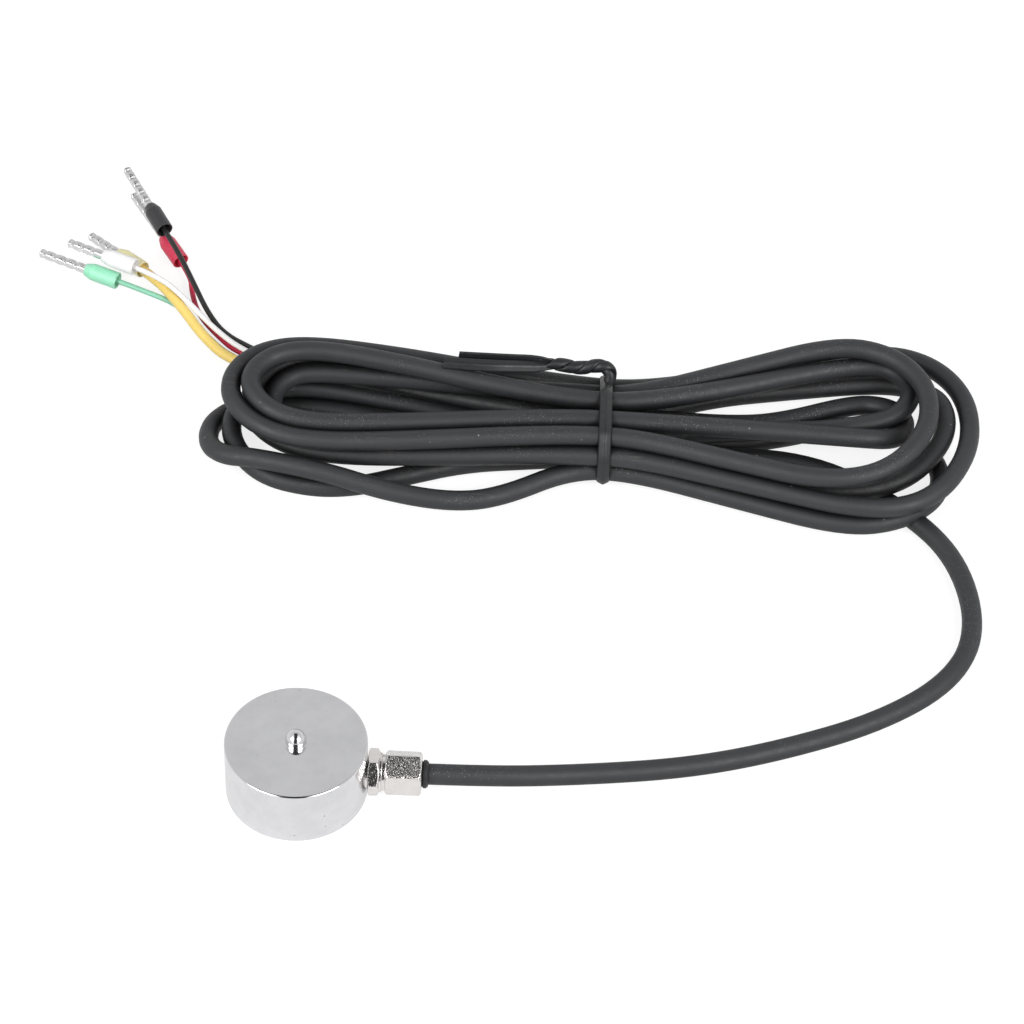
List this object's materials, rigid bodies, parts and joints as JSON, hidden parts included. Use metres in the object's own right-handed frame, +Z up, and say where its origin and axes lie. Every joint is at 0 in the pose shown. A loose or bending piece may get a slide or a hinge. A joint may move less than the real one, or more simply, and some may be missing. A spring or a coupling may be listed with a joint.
{
  "type": "tension compression force sensor",
  "caption": "Round steel button load cell with a domed load button, a side cable gland, a tied hank of black cable and coloured wires with ferrules.",
  "frame": {"origin": "centre of the body's base, on the surface that the sensor stands on", "axes": "+Z up along the body's axis and out of the load button, +X out of the cable gland"},
  "size_m": [0.1469, 0.1307, 0.0117],
  "materials": {
    "stainless_steel": "polished",
    "cover_steel": "satin",
    "gauge_foil": "foil on film",
    "board_laminate": "satin",
    "resistor_body": "matte",
    "nickel_plate": "nickel plated",
    "seal_rubber": "matte",
    "cable_jacket": "satin",
    "tie_plastic": "satin",
    "insulation_black": "gloss",
    "insulation_white": "gloss",
    "insulation_red": "gloss",
    "insulation_green": "gloss",
    "insulation_yellow": "satin sleeve",
    "collar_black": "satin",
    "collar_white": "satin",
    "collar_red": "satin",
    "collar_green": "satin",
    "collar_yellow": "satin",
    "tinned_copper": "crimped tin"
  },
  "bodies": {
    "root": {"load_cell_body": "stainless_steel", "base_cover": "cover_steel", "strain_gauge_1": "gauge_foil", "strain_gauge_2": "gauge_foil", "strain_gauge_3": "gauge_foil", "strain_gauge_4": "gauge_foil", "terminal_board": "board_laminate", "trim_resistor_1": "resistor_body", "trim_resistor_2": "resistor_body", "inner_lead_black": "insulation_black", "inner_lead_white": "insulation_white", "inner_lead_red": "insulation_red", "inner_lead_green": "insulation_green", "inner_lead_yellow": "insulation_yellow", "gland_body": "nickel_plate", "gland_nut": "nickel_plate", "gland_seal": "seal_rubber", "cable_lead": "cable_jacket", "cable_hank": "cable_jacket", "hank_tie": "tie_plastic", "wire_black": "insulation_black", "wire_white": "insulation_white", "wire_red": "insulation_red", "wire_green": "insulation_green", "wire_yellow": "insulation_yellow", "ferrule_collar_black": "collar_black", "ferrule_collar_white": "collar_white", "ferrule_collar_red": "collar_red", "ferrule_collar_green": "collar_green", "ferrule_collar_yellow": "collar_yellow", "ferrule_pin_black": "tinned_copper", "ferrule_pin_white": "tinned_copper", "ferrule_pin_red": "tinned_copper", "ferrule_pin_green": "tinned_copper", "ferrule_pin_yellow": "tinned_copper"}
  },
  "joints": []
}
